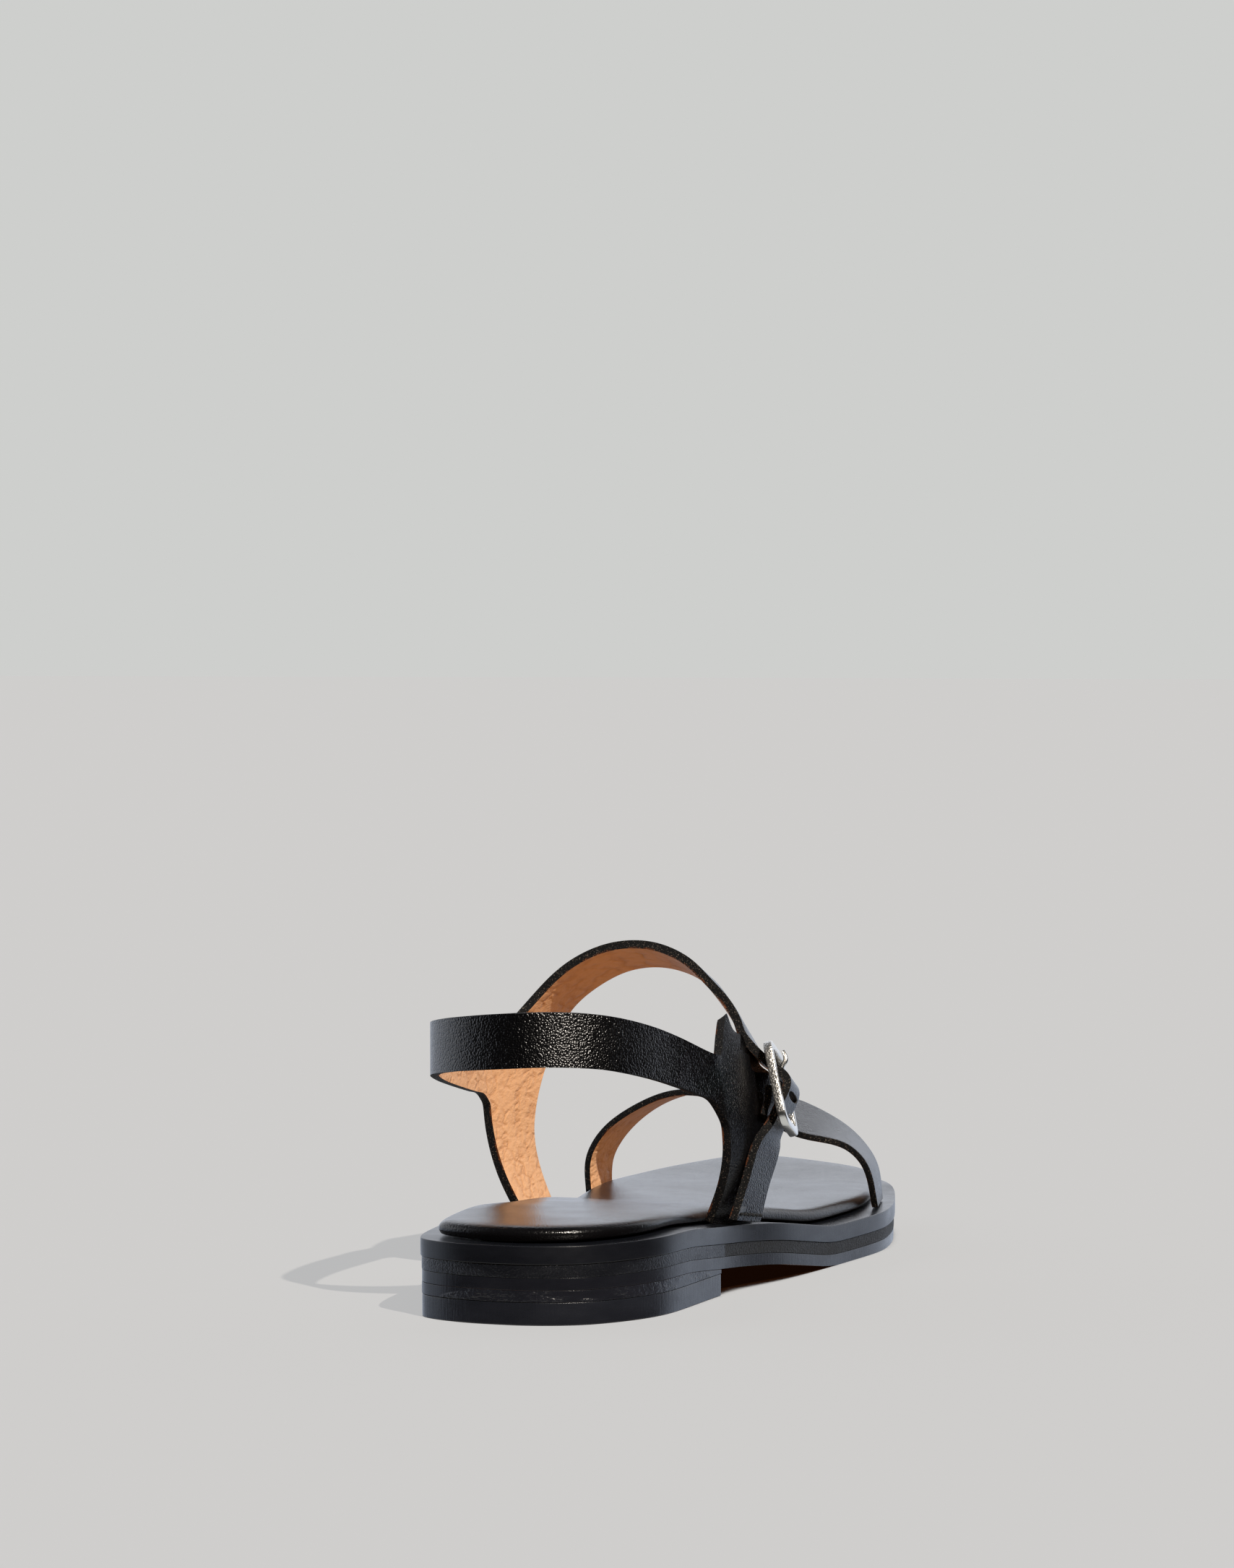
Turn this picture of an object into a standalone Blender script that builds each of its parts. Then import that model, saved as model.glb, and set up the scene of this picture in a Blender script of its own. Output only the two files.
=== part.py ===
"""Slingback sandal, right foot: a stacked leather sole with a low heel, and straps as its upper.

Lengths in the tables are millimetres in the last's frame: Y runs from the heel's rear end to the toe,
+X is the outer (lateral) side and Z = 0 is the floor. A parent empty moves the whole sandal so that
the middle of its footprint is the world's origin, in metres.
"""

import math

import bmesh
import bpy
import numpy as np
from mathutils import Matrix, Vector

MM = 0.001
NAME = "slingback_sandal"

# Driving sizes of the sole
LENGTH = 250.0
GAP = 0.3
OUTSOLE_THICKNESS = 2.7
MIDSOLE_THICKNESS = 2.9
WELT_THICKNESS = 4.3
TOP_PIECE_THICKNESS = 5.4
HEEL_BREAST_Y = 68.5
MIDSOLE_INSET = 0.3
OUTSOLE_INSET = 0.4
HEEL_INSET = 0.4
TOP_PIECE_INSET = 0.5
TIP_ANGLE = math.radians(4.0)
ROWS_WHOLE = 44
ROWS_HEEL = 20

# Driving sizes of the straps and the buckle
WALL = 2.2
TOE_STRAP_WALL = 1.8
STEPS_PER_SPAN = 3
STRAP_COLUMNS = 4
SLING_FROM = 3
SLING_TO = 5
BUCKLE_CENTRE = Vector((39.5, 97.4, 49.3))
BUCKLE_DOWN = Vector((0.383, -0.311, -0.870)).normalized()
BUCKLE_ACROSS = Vector((-0.116, 0.939, -0.331)).normalized()
BUCKLE_OUTWARD = BUCKLE_DOWN.cross(BUCKLE_ACROSS).normalized()
BUCKLE_LENGTH = 23.0
BUCKLE_WIDTH = 18.5
BUCKLE_CORNER = 3.0
BAR_RADIUS = 1.3
BAR_FLATNESS = 0.75
CENTRE_BAR_RADIUS = 0.9
PRONG_RADIUS = 0.8
STRAP_WIDTH_IN_BUCKLE = 12.2
CHAPE_WIDTH = 10.0
CHAPE_WALL = 1.8

# Outline of the sole: the two rim lines, and how far the insole stays inside each of them
OUTLINE = [
    # y, medial_x, lateral_x, insole_in_medial, insole_in_lateral
    (0.0, 0.0, 0.0, 5.0, 5.0),
    (9.0, -23.3, 22.2, 5.0, 5.0),
    (36.0, -28.0, 33.0, 5.0, 5.2),
    (70.0, -30.4, 33.9, 5.6, 7.4),
    (105.0, -34.4, 39.9, 6.6, 8.4),
    (140.0, -38.6, 43.2, 5.8, 6.2),
    (168.0, -42.8, 45.2, 5.2, 6.6),
    (184.0, -44.2, 43.0, 5.2, 6.6),
    (200.0, -43.0, 39.0, 5.2, 6.2),
    (230.0, -34.0, 27.3, 5.0, 5.2),
    (246.0, -24.5, 2.2, 5.0, 5.0),
    (250.0, -12.0, -12.0, 5.0, 5.0),
]

# Underside of the outsole: heel seat, arch, flat tread under the ball, toe spring
UNDERSIDE = [
    # y, z
    (0.0, 8.5),
    (40.0, 8.7),
    (68.0, 6.8),
    (95.0, 5.0),
    (120.0, 1.8),
    (136.0, 0.0),
    (196.0, 0.0),
    (222.0, 0.9),
    (250.0, 2.2),
]

# Edge of the padded insole, from its foot on the welt to its crowned top
INSOLE_EDGE = [
    # further_in, height
    (0.4, 0.3),
    (0.0, 0.9),
    (0.0, 2.0),
    (0.7, 2.9),
    (2.2, 3.4),
    (7.0, 3.7),
]

# Medial quarter and instep strap, from the sole over the instep to the buckle. A row is one section,
# and the strap runs straight from its rear edge to its front edge.
INSTEP_STRAP = [
    # rear_x, rear_y, rear_z, front_x, front_y, front_z
    (-29.6, 91.5, 16.7, -30.8, 119.6, 13.1),
    (-32.9, 88.0, 26.0, -33.4, 114.6, 25.0),
    (-34.6, 84.8, 36.0, -33.6, 110.8, 35.0),
    (-34.9, 83.0, 44.4, -32.8, 110.8, 42.8),
    (-34.6, 83.0, 52.4, -31.8, 113.6, 50.4),
    (-33.0, 87.6, 60.4, -30.2, 117.8, 58.4),
    (-28.6, 96.8, 69.0, -26.4, 121.0, 67.0),
    (-19.6, 99.6, 78.6, -17.4, 119.6, 74.0),
    (-8.0, 100.0, 84.2, -7.0, 117.2, 78.4),
    (4.0, 100.0, 84.8, 4.2, 115.2, 79.0),
    (14.6, 99.6, 80.4, 14.6, 113.4, 75.4),
    (21.8, 97.8, 72.8, 21.2, 111.6, 68.4),
    (27.6, 95.2, 65.6, 26.8, 109.0, 61.2),
]

# How the strap goes under, over and under the bars of the buckle, measured from the buckle's middle
STRAP_WEAVE = [
    # down, outward
    (-10.2, -2.9),
    (-5.1, 0.0),
    (0.0, 2.9),
    (5.1, -0.7),
    (10.2, -5.2),
]

# Strip that carries the buckle, from the centre bar in to the lateral quarter
CHAPE = [
    # down, outward
    (-0.6, -2.15),
    (2.2, -3.0),
    (4.6, -4.4),
    (6.6, -5.6),
]

# Prong over the strap and the top bar
PRONG = [
    # across, down, outward, radius_share
    (1.5, -4.8, 2.9, 1.0),
    (1.5, -7.4, 2.6, 1.0),
    (1.5, -10.8, 2.9, 0.7),
]

# The strap's end, which hangs from the buckle down to the rim of the sole
STRAP_END = [
    # rear_x, rear_y, rear_z, front_x, front_y, front_z
    (37.9, 84.8, 38.2, 38.4, 97.0, 34.2),
    (36.6, 78.4, 28.6, 37.7, 90.6, 25.8),
    (35.0, 72.4, 18.6, 37.2, 84.8, 16.8),
]

# Lateral quarter, from the sole up to the slanting top edge that lies under the instep strap
LATERAL_QUARTER = [
    # rear_x, rear_y, rear_z, front_x, front_y, front_z
    (28.6, 72.4, 17.8, 31.0, 96.0, 16.2),
    (32.9, 70.2, 27.5, 33.4, 95.4, 26.5),
    (34.9, 68.2, 35.6, 34.3, 95.4, 35.0),
    (35.0, 66.6, 43.0, 34.4, 95.8, 42.0),
    (33.9, 65.4, 51.4, 33.6, 97.4, 48.6),
    (32.4, 68.6, 59.6, 32.0, 99.6, 54.0),
    (28.2, 84.0, 69.4, 29.8, 102.6, 58.4),
]

# Sling round the heel, from the medial quarter to the lateral one
SLING = [
    # x, y, lower_z, upper_z
    (-34.6, 78.0, 47.4, 61.0),
    (-33.9, 71.0, 48.6, 62.0),
    (-31.4, 51.0, 52.0, 65.6),
    (-27.6, 32.0, 55.2, 68.4),
    (-21.8, 16.0, 58.0, 70.9),
    (-12.0, 6.9, 59.7, 72.8),
    (0.0, 4.0, 60.8, 74.0),
    (12.0, 6.3, 61.4, 74.5),
    (20.6, 13.6, 60.6, 73.7),
    (26.6, 25.6, 58.2, 71.0),
    (30.3, 42.6, 54.3, 66.4),
    (32.2, 55.0, 51.0, 62.6),
    (33.3, 61.6, 49.0, 60.7),
]

# Toe strap, from the medial rim over the ball to the lateral rim
TOE_STRAP = [
    # rear_x, rear_y, rear_z, front_x, front_y, front_z
    (-40.2, 173.0, 10.9, -40.8, 191.0, 10.9),
    (-39.8, 170.8, 21.0, -40.0, 190.0, 20.0),
    (-35.0, 168.0, 28.6, -35.2, 188.4, 27.4),
    (-25.0, 166.0, 36.0, -25.0, 186.4, 35.6),
    (-12.4, 163.4, 41.0, -13.0, 184.2, 40.0),
    (2.0, 159.4, 40.6, 0.8, 181.6, 40.8),
    (14.6, 154.4, 37.0, 12.8, 179.4, 39.4),
    (26.6, 150.8, 32.2, 22.6, 178.8, 36.4),
    (37.6, 156.4, 29.4, 31.4, 183.4, 30.2),
    (41.2, 165.4, 22.8, 36.3, 189.0, 21.8),
    (41.2, 174.0, 10.9, 36.5, 194.0, 10.9),
]


def clear_scene():
    """Remove every object that the open file holds."""
    for thing in list(bpy.data.objects):
        bpy.data.objects.remove(thing, do_unlink=True)


def new_collection(name):
    """Make a collection in the scene."""
    collection = bpy.data.collections.new(name)
    bpy.context.scene.collection.children.link(collection)
    return collection


def new_material(name, colour, roughness, metallic=0.0):
    """Make a plain Principled material from a linear colour."""
    material = bpy.data.materials.new(name)
    material.use_nodes = True
    shader = material.node_tree.nodes["Principled BSDF"]
    shader.inputs["Base Color"].default_value = (*colour, 1.0)
    shader.inputs["Roughness"].default_value = roughness
    shader.inputs["Metallic"].default_value = metallic
    return material


def add_part(name, data, material, parts, origin):
    """Put mesh or curve data in the scene as a sub-part of the sandal."""
    data.materials.append(material)
    part = bpy.data.objects.new(name, data)
    part.parent = origin
    parts.objects.link(part)
    return part


def mesh_of(bm, name):
    """Turn a bmesh in millimetres into a smooth-shaded mesh in metres."""
    bmesh.ops.scale(bm, vec=(MM, MM, MM), verts=bm.verts)
    mesh = bpy.data.meshes.new(name)
    bm.to_mesh(mesh)
    bm.free()
    mesh.shade_smooth()
    mesh.set_sharp_from_angle(angle=math.radians(40.0))
    return mesh


def smooth(xs, ys, at):
    """Read a curve through a table's points that never swings past them."""
    xs = np.asarray(xs, float)
    ys = np.asarray(ys, float)
    slope = np.diff(ys) / np.diff(xs)
    before = slope[:-1]
    after = slope[1:]
    turning = before * after <= 0.0
    total = np.where(turning, 1.0, before + after)
    middle = np.where(turning, 0.0, 2.0 * before * after / total)
    tangent = np.concatenate(([slope[0]], middle, [slope[-1]]))
    span = np.clip(np.searchsorted(xs, at) - 1, 0, len(slope) - 1)
    width = np.diff(xs)[span]
    t = (at - xs[span]) / width
    start = ys[span] * (1 + 2 * t) * (1 - t) ** 2 + tangent[span] * width * t * (1 - t) ** 2
    end = ys[span + 1] * t * t * (3 - 2 * t) + tangent[span + 1] * width * t * t * (t - 1)
    return start + end


def through(sections, steps):
    """Sample smooth curves through strap sections, an array of section by point by coordinate."""
    sections = np.asarray(sections, float)
    middles = sections.mean(axis=1)
    length = np.concatenate(([0.0], np.cumsum(np.linalg.norm(np.diff(middles, axis=0), axis=1))))
    tangent = np.gradient(sections, length, axis=0)
    rows = []
    for index in range(len(sections) - 1):
        width = length[index + 1] - length[index]
        for step in range(steps):
            t = step / steps
            start = sections[index] * (1 + 2 * t) + tangent[index] * width * t
            end = sections[index + 1] * (3 - 2 * t) + tangent[index + 1] * width * (t - 1)
            rows.append(start * (1 - t) ** 2 + end * t * t)
    rows.append(sections[-1])
    return np.array(rows)


def sole_angle(y):
    """Turn a length along the sole into an angle, so that rows crowd at the round ends."""
    return np.arccos(1.0 - 2.0 * np.asarray(y, float) / LENGTH)


def rim(column, angle):
    """Read a column of the outline table at the given angles along the sole."""
    return smooth(sole_angle([row[0] for row in OUTLINE]), [row[column] for row in OUTLINE], angle)


def underside(y):
    """Height of the outsole's tread."""
    return smooth([row[0] for row in UNDERSIDE], [row[1] for row in UNDERSIDE], y)


def welt_top(y):
    """Height of the welt's upper face, on which the insole and the straps stand."""
    return underside(y) + OUTSOLE_THICKNESS + MIDSOLE_THICKNESS + WELT_THICKNESS + 2 * GAP


def side_line(column, angle, inset):
    """One side of the outline as x, y points, moved inwards along its own normals."""
    line = np.stack([rim(column, angle), LENGTH / 2 * (1 - np.cos(angle))], axis=1)
    along = np.gradient(line, axis=0)
    along /= np.linalg.norm(along, axis=1)[:, None]
    inward = np.stack([-along[:, 1], along[:, 0]], axis=1)
    if column == 1:
        inward = -inward
    return line + inward * np.reshape(inset, (-1, 1))


def sole_ring(inset, height, last_y=LENGTH, rows=ROWS_WHOLE):
    """A closed ring round the sole: up its lateral side and back down its medial one."""
    end = min(float(sole_angle(last_y)), math.pi - TIP_ANGLE)
    angle = np.linspace(TIP_ANGLE, end, rows)
    inset_medial, inset_lateral = inset(angle)
    lateral = side_line(2, angle, inset_lateral)
    medial = side_line(1, angle, inset_medial)
    ring = np.concatenate([lateral, medial[::-1]])
    return np.column_stack([ring, height(np.clip(ring[:, 1], 0.0, LENGTH))])


def even_inset(distance):
    """An inset that is the same all round."""
    return lambda angle: (distance, distance)


def insole_inset(further_in):
    """The insole's own inset from the rim, plus a distance for the roll of its edge."""
    return lambda angle: (rim(3, angle) + further_in, rim(4, angle) + further_in)


def loft_rings(rings, name):
    """Loft closed rings into a solid. Strips from side to side close its underside and its top."""
    bm = bmesh.new()
    loops = [[bm.verts.new(point) for point in ring] for ring in rings]
    count = len(loops[0])
    for lower, upper in zip(loops, loops[1:]):
        for index in range(count):
            following = (index + 1) % count
            bm.faces.new((lower[index], lower[following], upper[following], upper[index]))
    for loop in (loops[0], loops[-1]):
        for index in range(count // 2 - 1):
            across = count - 1 - index
            bm.faces.new((loop[index], loop[index + 1], loop[across - 1], loop[across]))
    bmesh.ops.recalc_face_normals(bm, faces=bm.faces)
    return mesh_of(bm, name)


def layer(name, inset, bottom, top, last_y=LENGTH, rows=ROWS_WHOLE):
    """One layer of the stacked sole between two heights."""
    rings = [sole_ring(even_inset(inset), height, last_y, rows) for height in (bottom, top)]
    return loft_rings(rings, name)


def table_sections(table, columns):
    """Turn rows of rear and front edge points into sections with points between the two edges."""
    share = np.linspace(0.0, 1.0, columns + 1)[None, :, None]
    rows = np.array(table, float)
    rear = rows[:, None, :3]
    front = rows[:, None, 3:]
    return rear * (1 - share) + front * share


def sections_at_buckle(table, width, columns):
    """Sections of a strip of even width that runs past the buckle, from its down and outward rows."""
    half = BUCKLE_ACROSS * width / 2
    sections = []
    for down, outward in table:
        middle = BUCKLE_CENTRE + BUCKLE_DOWN * down + BUCKLE_OUTWARD * outward
        sections.append((*(middle - half), *(middle + half)))
    return table_sections(sections, columns)


def add_sheet(bm, points):
    """Add a grid to a bmesh and lay it on an array of row by column by coordinate."""
    rows = len(points) - 1
    columns = len(points[0]) - 1
    grid = bmesh.ops.create_grid(bm, x_segments=columns, y_segments=rows, size=1.0)
    for vert in grid["verts"]:
        column = round((vert.co.x + 1.0) / 2.0 * columns)
        row = round((vert.co.y + 1.0) / 2.0 * rows)
        vert.co = points[row][column]


def sheet_mesh(sheets, name):
    """Join strap sheets along the edges that they share."""
    bm = bmesh.new()
    for points in sheets:
        add_sheet(bm, points)
    bmesh.ops.remove_doubles(bm, verts=bm.verts, dist=0.01)
    bmesh.ops.recalc_face_normals(bm, faces=bm.faces)
    return mesh_of(bm, name)


def add_wall(part, thickness):
    """Give a sheet the thickness of its leather, half to each side."""
    wall = part.modifiers.new("wall", "SOLIDIFY")
    wall.thickness = thickness * MM
    wall.offset = 0.0
    wall.use_even_offset = True
    wall.use_quality_normals = True


def sling_sections(start_edge, end_edge, columns):
    """Sections of the sling, whose two ends are edges of the quarters."""
    share = np.linspace(0.0, 1.0, columns + 1)
    middle = []
    for x, y, lower_z, upper_z in SLING:
        heights = lower_z + (upper_z - lower_z) * share
        middle.append(np.stack([np.full_like(share, x), np.full_like(share, y), heights], axis=1))
    return np.concatenate([[start_edge], middle, [end_edge]])


def upper_sheets():
    """The straps that are one piece: both quarters, the instep strap with its end, and the sling."""
    over_instep = table_sections(INSTEP_STRAP, STRAP_COLUMNS)
    in_buckle = sections_at_buckle(STRAP_WEAVE, STRAP_WIDTH_IN_BUCKLE, STRAP_COLUMNS)
    hanging = table_sections(STRAP_END, STRAP_COLUMNS)
    instep = through(np.concatenate([over_instep, in_buckle, hanging]), STEPS_PER_SPAN)
    quarter = through(table_sections(LATERAL_QUARTER, STRAP_COLUMNS), STEPS_PER_SPAN)
    joined = slice(SLING_FROM * STEPS_PER_SPAN, SLING_TO * STEPS_PER_SPAN + 1)
    ends = (instep[joined, 0], quarter[joined, 0])
    columns = (SLING_TO - SLING_FROM) * STEPS_PER_SPAN
    sling = through(sling_sections(*ends, columns), STEPS_PER_SPAN)
    return [instep, quarter, sling]


def buckle_matrix():
    """Place of the buckle: its X across the strap, its Y up along it and its Z outwards."""
    axes = Matrix((BUCKLE_ACROSS, -BUCKLE_DOWN, BUCKLE_OUTWARD)).transposed().to_4x4()
    return Matrix.Translation(BUCKLE_CENTRE * MM) @ axes


def frame_loop(corner_steps=5):
    """Centre line of the buckle's frame, a rectangle with round corners."""
    half_width = BUCKLE_WIDTH / 2 - BAR_RADIUS
    half_length = BUCKLE_LENGTH / 2 - BAR_RADIUS
    points = []
    for corner, (side, end) in enumerate(((1, 1), (-1, 1), (-1, -1), (1, -1))):
        centre = Vector((side * (half_width - BUCKLE_CORNER), end * (half_length - BUCKLE_CORNER), 0.0))
        for step in range(corner_steps):
            turn = math.pi / 2 * (corner + step / (corner_steps - 1))
            points.append(centre + Vector((math.cos(turn), math.sin(turn), 0.0)) * BUCKLE_CORNER)
    return points


def tube(name, points, radius, closed, taper=None):
    """A round bar along points in millimetres, as a curve with filled caps."""
    curve = bpy.data.curves.new(name, "CURVE")
    curve.dimensions = "3D"
    curve.bevel_depth = radius * MM
    curve.bevel_resolution = 2
    curve.use_fill_caps = not closed
    spline = curve.splines.new("POLY")
    spline.points.add(len(points) - 1)
    for index, point in enumerate(points):
        spline.points[index].co = (*(Vector(point) * MM), 1.0)
        spline.points[index].radius = taper[index] if taper else 1.0
    spline.use_cyclic_u = closed
    return curve


def mesh_from_curve(curve):
    """Make a curve a closed mesh, with its caps welded on."""
    holder = bpy.data.objects.new(curve.name, curve)
    bpy.context.scene.collection.objects.link(holder)
    depsgraph = bpy.context.evaluated_depsgraph_get()
    mesh = bpy.data.meshes.new_from_object(holder.evaluated_get(depsgraph))
    bpy.data.objects.remove(holder)
    bm = bmesh.new()
    bm.from_mesh(mesh)
    bmesh.ops.remove_doubles(bm, verts=bm.verts, dist=0.01 * MM)
    bm.to_mesh(mesh)
    bm.free()
    return mesh


def add_buckle(materials, parts, cutters, origin):
    """Frame with its centre bar, and the prong that lies over the strap on the top bar."""
    place = buckle_matrix()
    flat = Matrix.Diagonal((1.0, 1.0, BAR_FLATNESS, 1.0))
    frame_mesh = mesh_from_curve(tube("buckle_frame", frame_loop(), BAR_RADIUS, True))
    frame_mesh.transform(flat)
    frame = add_part("buckle_frame", frame_mesh, materials["buckle"], parts, origin)
    frame.matrix_local = place
    half_bar = BUCKLE_WIDTH / 2 - BAR_RADIUS
    bar_points = [(-half_bar, 0.0, 0.0), (half_bar, 0.0, 0.0)]
    bar_mesh = mesh_from_curve(tube("centre_bar", bar_points, CENTRE_BAR_RADIUS, False))
    bar = bpy.data.objects.new("centre_bar", bar_mesh)
    cutters.objects.link(bar)
    bar.parent = origin
    bar.matrix_local = place
    bar.hide_render = True
    bar.display_type = "WIRE"
    join = frame.modifiers.new("centre_bar", "BOOLEAN")
    join.operation = "UNION"
    join.solver = "EXACT"
    join.object = bar
    path = [(across, -down, outward) for across, down, outward, share in PRONG]
    taper = [row[3] for row in PRONG]
    prong = tube("buckle_prong", path, PRONG_RADIUS, False, taper)
    add_part("buckle_prong", prong, materials["prong"], parts, origin).matrix_local = place


def build():
    """Make every sub-part of the sandal."""
    clear_scene()
    parts = new_collection(NAME)
    cutters = new_collection(NAME + "_cutters")
    origin = bpy.data.objects.new("sandal_origin", None)
    parts.objects.link(origin)
    middle_x = (max(row[2] for row in OUTLINE) + min(row[1] for row in OUTLINE)) / 2
    origin.location = (-middle_x * MM, -LENGTH / 2 * MM, 0.0)
    bpy.context.view_layer.update()

    edge_black = new_material("waxed_leather_edge", (0.010, 0.011, 0.013), 0.38)
    materials = {
        "outsole": new_material("outsole_leather", (0.012, 0.012, 0.014), 0.40),
        "midsole": new_material("rough_midsole", (0.008, 0.008, 0.010), 0.75),
        "buckle": new_material("buckle_steel", (0.62, 0.61, 0.59), 0.28, 1.0),
        "prong": new_material("prong_steel", (0.62, 0.61, 0.59), 0.30, 1.0),
        "strap": new_material("black_grain_leather", (0.008, 0.008, 0.009), 0.45),
        "toe": new_material("toe_strap_leather", (0.008, 0.008, 0.009), 0.45),
        "chape": new_material("chape_leather", (0.008, 0.008, 0.009), 0.50),
        "insole": new_material("insole_leather", (0.020, 0.020, 0.022), 0.42),
        "lift": new_material("heel_lift_leather", (0.006, 0.006, 0.007), 0.42),
        "top_piece": new_material("top_piece_rubber", (0.004, 0.004, 0.005), 0.55),
    }

    outsole_top = OUTSOLE_THICKNESS
    midsole_bottom = outsole_top + GAP
    midsole_top = midsole_bottom + MIDSOLE_THICKNESS
    welt_bottom = midsole_top + GAP
    mesh = layer("outsole", OUTSOLE_INSET, underside, lambda y: underside(y) + outsole_top)
    add_part("outsole", mesh, materials["outsole"], parts, origin)
    mesh = layer("midsole", MIDSOLE_INSET, lambda y: underside(y) + midsole_bottom,
                 lambda y: underside(y) + midsole_top)
    add_part("midsole", mesh, materials["midsole"], parts, origin)
    mesh = layer("welt", 0.0, lambda y: underside(y) + welt_bottom, welt_top)
    add_part("welt", mesh, edge_black, parts, origin)
    mesh = layer("heel_lift", HEEL_INSET, lambda y: np.full_like(y, TOP_PIECE_THICKNESS + GAP),
                 lambda y: underside(y) - GAP, HEEL_BREAST_Y, ROWS_HEEL)
    add_part("heel_lift", mesh, materials["lift"], parts, origin)
    mesh = layer("heel_top_piece", TOP_PIECE_INSET, np.zeros_like,
                 lambda y: np.full_like(y, TOP_PIECE_THICKNESS), HEEL_BREAST_Y, ROWS_HEEL)
    add_part("heel_top_piece", mesh, materials["top_piece"], parts, origin)

    rings = []
    for further_in, height in INSOLE_EDGE:
        rings.append(sole_ring(insole_inset(further_in), lambda y, up=height: welt_top(y) + up))
    add_part("insole", loft_rings(rings, "insole"), materials["insole"], parts, origin)

    upper = add_part("upper", sheet_mesh(upper_sheets(), "upper"), materials["strap"], parts, origin)
    add_wall(upper, WALL)
    toe_points = through(table_sections(TOE_STRAP, STRAP_COLUMNS), STEPS_PER_SPAN)
    toe_mesh = sheet_mesh([toe_points], "toe_strap")
    toe_strap = add_part("toe_strap", toe_mesh, materials["toe"], parts, origin)
    add_wall(toe_strap, TOE_STRAP_WALL)
    chape_points = through(sections_at_buckle(CHAPE, CHAPE_WIDTH, STRAP_COLUMNS), 1)
    chape_mesh = sheet_mesh([chape_points], "buckle_chape")
    chape = add_part("buckle_chape", chape_mesh, materials["chape"], parts, origin)
    add_wall(chape, CHAPE_WALL)
    add_buckle(materials, parts, cutters, origin)


build()
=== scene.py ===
# %% [markdown]
# A slingback sandal for the right foot: black grained straps with a tan lining, a padded insole and a
# stacked sole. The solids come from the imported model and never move. Each one is copied here, rounded
# and given its leather, so that the dressed sandal keeps the solids' size.

import math

import bmesh
import bpy
from mathutils import Euler, Matrix, Vector


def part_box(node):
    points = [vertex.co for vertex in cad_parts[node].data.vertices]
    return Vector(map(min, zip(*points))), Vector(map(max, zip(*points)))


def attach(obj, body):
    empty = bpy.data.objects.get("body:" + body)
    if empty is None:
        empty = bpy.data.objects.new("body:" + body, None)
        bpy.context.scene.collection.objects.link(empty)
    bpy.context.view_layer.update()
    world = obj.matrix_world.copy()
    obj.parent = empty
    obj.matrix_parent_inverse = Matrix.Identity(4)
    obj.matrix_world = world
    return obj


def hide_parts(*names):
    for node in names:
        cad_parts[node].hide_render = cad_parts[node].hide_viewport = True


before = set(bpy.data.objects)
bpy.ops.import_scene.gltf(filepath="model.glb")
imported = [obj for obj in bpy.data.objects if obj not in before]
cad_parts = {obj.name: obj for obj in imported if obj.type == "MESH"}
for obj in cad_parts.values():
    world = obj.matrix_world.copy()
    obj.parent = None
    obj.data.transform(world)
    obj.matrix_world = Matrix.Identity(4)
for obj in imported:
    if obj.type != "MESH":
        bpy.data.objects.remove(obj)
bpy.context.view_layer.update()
MM = 0.001
print("nodes:", sorted(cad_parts))

# %% [markdown]
# The camera stands low behind the heel on the outer side, far away with a long lens, so that the sole
# is nearly edge on. Its place was fitted to the sole's outline; the long side of the picture is 36 mm
# of sensor, so the lens follows from the focal length in pixels.

# %% Camera
FOCAL_PX = 6823.0
IMAGE_HEIGHT_PX = 2171.0
SENSOR_MM = 36.0
CAMERA_PLACE = Vector((0.4245, -1.2146, 0.1626))
CAMERA_YAW = math.radians(19.9)
CAMERA_PITCH = math.radians(-1.65)
CAMERA_CLIP = (0.05, 100.0)

camera_data = bpy.data.cameras.new("photo_angle")
camera_data.sensor_width = SENSOR_MM
camera_data.lens = SENSOR_MM * FOCAL_PX / IMAGE_HEIGHT_PX
camera_data.clip_start, camera_data.clip_end = CAMERA_CLIP
camera = bpy.data.objects.new("photo_angle", camera_data)
camera.location = CAMERA_PLACE
camera.rotation_euler = Euler((math.pi / 2 + CAMERA_PITCH, 0.0, CAMERA_YAW), "XYZ")
bpy.context.scene.collection.objects.link(camera)
bpy.context.scene.camera = camera
print("lens:", round(camera_data.lens, 1), "mm")

# %% [markdown]
# Colours are written as sRGB hex values, the way a paint program shows them, and one function turns
# them to the linear values that Blender's sockets hold. Another adds a node: its settings, its plain
# input values and its links. Every material below is made with these two.

# %% Colour and node helpers


def linear(hex_colour, alpha=1.0):
    """An sRGB hex colour as linear red, green, blue and alpha."""
    values = []
    for start in (0, 2, 4):
        value = int(hex_colour[start:start + 2], 16) / 255
        values.append(value / 12.92 if value <= 0.04045 else ((value + 0.055) / 1.055) ** 2.4)
    return (*values, alpha)


def add_node(tree, kind, settings=None, values=None, links=None):
    """Add a node, set its properties and input values, and link other nodes' outputs to its inputs."""
    node = tree.nodes.new(kind)
    for name, value in (settings or {}).items():
        setattr(node, name, value)
    for name, value in (values or {}).items():
        node.inputs[name].default_value = value
    for name, output in (links or {}).items():
        tree.links.new(output, node.inputs[name])
    return node


def new_material(name):
    """An empty node material with its shader, and the position on the piece in metres."""
    material = bpy.data.materials.new(name)
    material.use_nodes = True
    tree = material.node_tree
    shader = tree.nodes["Principled BSDF"]
    place = add_node(tree, "ShaderNodeTexCoord").outputs["Object"]
    return material, tree, shader, place


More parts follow.
